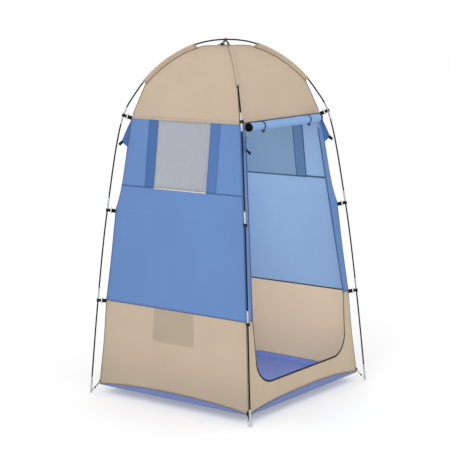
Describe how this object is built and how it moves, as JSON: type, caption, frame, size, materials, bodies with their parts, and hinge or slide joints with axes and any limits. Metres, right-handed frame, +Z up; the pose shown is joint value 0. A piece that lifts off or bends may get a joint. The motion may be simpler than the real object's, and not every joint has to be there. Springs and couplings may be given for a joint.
{
  "type": "pop-up changing tent",
  "caption": "Free-standing square changing tent with a domed roof, crossed bent poles on hooks, mesh windows, a rolled-up zip door and a tub floor.",
  "frame": {"origin": "on the ground, under the middle of the floor", "axes": "+Z up, -Y out of the door, -X out of the open window"},
  "size_m": [1.0872, 1.0872, 1.9],
  "materials": {
    "pole_rod": "black glass-fibre rod, satin, with bright steel ferrules",
    "steel": "bright zinc-plated steel",
    "black_plastic": "moulded black nylon",
    "webbing": "black woven webbing and binding",
    "sand_fabric": "coated polyester, matte, fine weave",
    "blue_fabric": "coated polyester, matte, fine weave",
    "window_mesh": "fine knitted insect mesh",
    "floor_fabric": "heavier coated groundsheet, slight sheen",
    "zip_tape": "black coil zip on woven tape"
  },
  "bodies": {
    "tent": {"pole_front_left_lower": "pole_rod", "pole_front_left_middle": "pole_rod", "pole_front_left_upper": "pole_rod", "pole_front_right_lower": "pole_rod", "pole_front_right_middle": "pole_rod", "pole_front_right_upper": "pole_rod", "pole_back_left_lower": "pole_rod", "pole_back_left_middle": "pole_rod", "pole_back_left_upper": "pole_rod", "pole_back_right_lower": "pole_rod", "pole_back_right_middle": "pole_rod", "pole_back_right_upper": "pole_rod", "pole_crown_over": "pole_rod", "pole_crown_under": "pole_rod", "foot_pin_front_left": "steel", "corner_seam_front_left": "webbing", "foot_pin_front_right": "steel", "corner_seam_front_right": "webbing", "foot_pin_back_left": "steel", "corner_seam_back_left": "webbing", "foot_pin_back_right": "steel", "corner_seam_back_right": "webbing", "roof_canopy": "sand_fabric", "window_wall_left": "blue_fabric", "window_wall_right": "blue_fabric", "back_wall_upper": "blue_fabric", "door_strip_left": "blue_fabric", "door_strip_right": "blue_fabric", "window_cover_closed": "blue_fabric", "window_cover_rolled": "blue_fabric", "door_panel_rolled": "blue_fabric", "left_wall_lower": "sand_fabric", "right_wall_lower": "sand_fabric", "back_wall_lower": "sand_fabric", "door_wall_lower": "sand_fabric", "pocket": "sand_fabric", "window_mesh_left": "window_mesh", "window_mesh_right": "window_mesh", "floor_tub": "floor_fabric", "door_zip_tape": "zip_tape", "apex_cord": "webbing"},
    "hook_front_left_low": {"clip_hook_front_left_low": "black_plastic"},
    "hook_front_left_mid": {"clip_hook_front_left_mid": "black_plastic"},
    "hook_front_left_top": {"clip_hook_front_left_top": "black_plastic"},
    "hook_front_right_low": {"clip_hook_front_right_low": "black_plastic"},
    "hook_front_right_mid": {"clip_hook_front_right_mid": "black_plastic"},
    "hook_front_right_top": {"clip_hook_front_right_top": "black_plastic"},
    "hook_back_left_low": {"clip_hook_back_left_low": "black_plastic"},
    "hook_back_left_mid": {"clip_hook_back_left_mid": "black_plastic"},
    "hook_back_left_top": {"clip_hook_back_left_top": "black_plastic"},
    "hook_back_right_low": {"clip_hook_back_right_low": "black_plastic"},
    "hook_back_right_mid": {"clip_hook_back_right_mid": "black_plastic"},
    "hook_back_right_top": {"clip_hook_back_right_top": "black_plastic"},
    "slider_left": {"zip_slider_left": "steel"},
    "toggle_left": {"door_toggle_left": "black_plastic"},
    "slider_right": {"zip_slider_right": "steel"},
    "toggle_right": {"door_toggle_right": "black_plastic"},
    "cord_lock": {"cord_lock_body": "black_plastic"},
    "lock_button": {"cord_lock_button": "black_plastic"}
  },
  "joints": [
    {"name": "hook_front_left_low_swing", "type": "hinge", "parent": "tent", "child": "hook_front_left_low", "pos_m": [-0.49173, -0.49173, 0.51041], "axis": [0.0804, 0.0804, 0.9935], "range_deg": [0, 75]},
    {"name": "hook_front_left_mid_swing", "type": "hinge", "parent": "tent", "child": "hook_front_left_mid", "pos_m": [-0.44779, -0.44779, 0.99879], "axis": [0.112, 0.112, 0.9874], "range_deg": [0, 75]},
    {"name": "hook_front_left_top_swing", "type": "hinge", "parent": "tent", "child": "hook_front_left_top", "pos_m": [-0.37846, -0.37846, 1.49867], "axis": [0.2481, 0.2481, 0.9365], "range_deg": [0, 75]},
    {"name": "hook_front_right_low_swing", "type": "hinge", "parent": "tent", "child": "hook_front_right_low", "pos_m": [0.49173, -0.49173, 0.51041], "axis": [-0.0804, 0.0804, 0.9935], "range_deg": [0, 75]},
    {"name": "hook_front_right_mid_swing", "type": "hinge", "parent": "tent", "child": "hook_front_right_mid", "pos_m": [0.44779, -0.44779, 0.99879], "axis": [-0.112, 0.112, 0.9874], "range_deg": [0, 75]},
    {"name": "hook_front_right_top_swing", "type": "hinge", "parent": "tent", "child": "hook_front_right_top", "pos_m": [0.37844, -0.37844, 1.49873], "axis": [-0.245, 0.245, 0.9381], "range_deg": [0, 75]},
    {"name": "hook_back_left_low_swing", "type": "hinge", "parent": "tent", "child": "hook_back_left_low", "pos_m": [-0.49173, 0.49173, 0.51041], "axis": [0.0804, -0.0804, 0.9935], "range_deg": [0, 75]},
    {"name": "hook_back_left_mid_swing", "type": "hinge", "parent": "tent", "child": "hook_back_left_mid", "pos_m": [-0.44779, 0.44779, 0.99879], "axis": [0.112, -0.112, 0.9874], "range_deg": [0, 75]},
    {"name": "hook_back_left_top_swing", "type": "hinge", "parent": "tent", "child": "hook_back_left_top", "pos_m": [-0.37844, 0.37844, 1.49873], "axis": [0.245, -0.245, 0.9381], "range_deg": [0, 75]},
    {"name": "hook_back_right_low_swing", "type": "hinge", "parent": "tent", "child": "hook_back_right_low", "pos_m": [0.49173, 0.49173, 0.51041], "axis": [-0.0804, -0.0804, 0.9935], "range_deg": [0, 75]},
    {"name": "hook_back_right_mid_swing", "type": "hinge", "parent": "tent", "child": "hook_back_right_mid", "pos_m": [0.44779, 0.44779, 0.99879], "axis": [-0.112, -0.112, 0.9874], "range_deg": [0, 75]},
    {"name": "hook_back_right_top_swing", "type": "hinge", "parent": "tent", "child": "hook_back_right_top", "pos_m": [0.37846, 0.37846, 1.49867], "axis": [-0.2481, -0.2481, 0.9365], "range_deg": [0, 75]},
    {"name": "zip_left_slide", "type": "slide", "parent": "tent", "child": "slider_left", "axis": [-0.1036, -0.1122, -0.9883], "range_m": [0, 0.905]},
    {"name": "zip_right_slide", "type": "slide", "parent": "tent", "child": "slider_right", "axis": [0.1036, -0.1122, -0.9883], "range_m": [0, 0.905]},
    {"name": "toggle_left_turn", "type": "hinge", "parent": "tent", "child": "toggle_left", "pos_m": [-0.205, -0.39067, 1.44496], "axis": [0, -0.309, -0.9511], "range_deg": [-90, 90]},
    {"name": "toggle_right_turn", "type": "hinge", "parent": "tent", "child": "toggle_right", "pos_m": [0.205, -0.39067, 1.44496], "axis": [0, -0.309, -0.9511], "range_deg": [-90, 90]},
    {"name": "cord_lock_slide", "type": "slide", "parent": "tent", "child": "cord_lock", "axis": [1, 0, 0], "range_m": [-0.018, 0.012]},
    {"name": "lock_button_press", "type": "slide", "parent": "cord_lock", "child": "lock_button", "axis": [0, 1, 0], "range_m": [0, 0.003], "stiffness_N_per_m": 900}
  ]
}
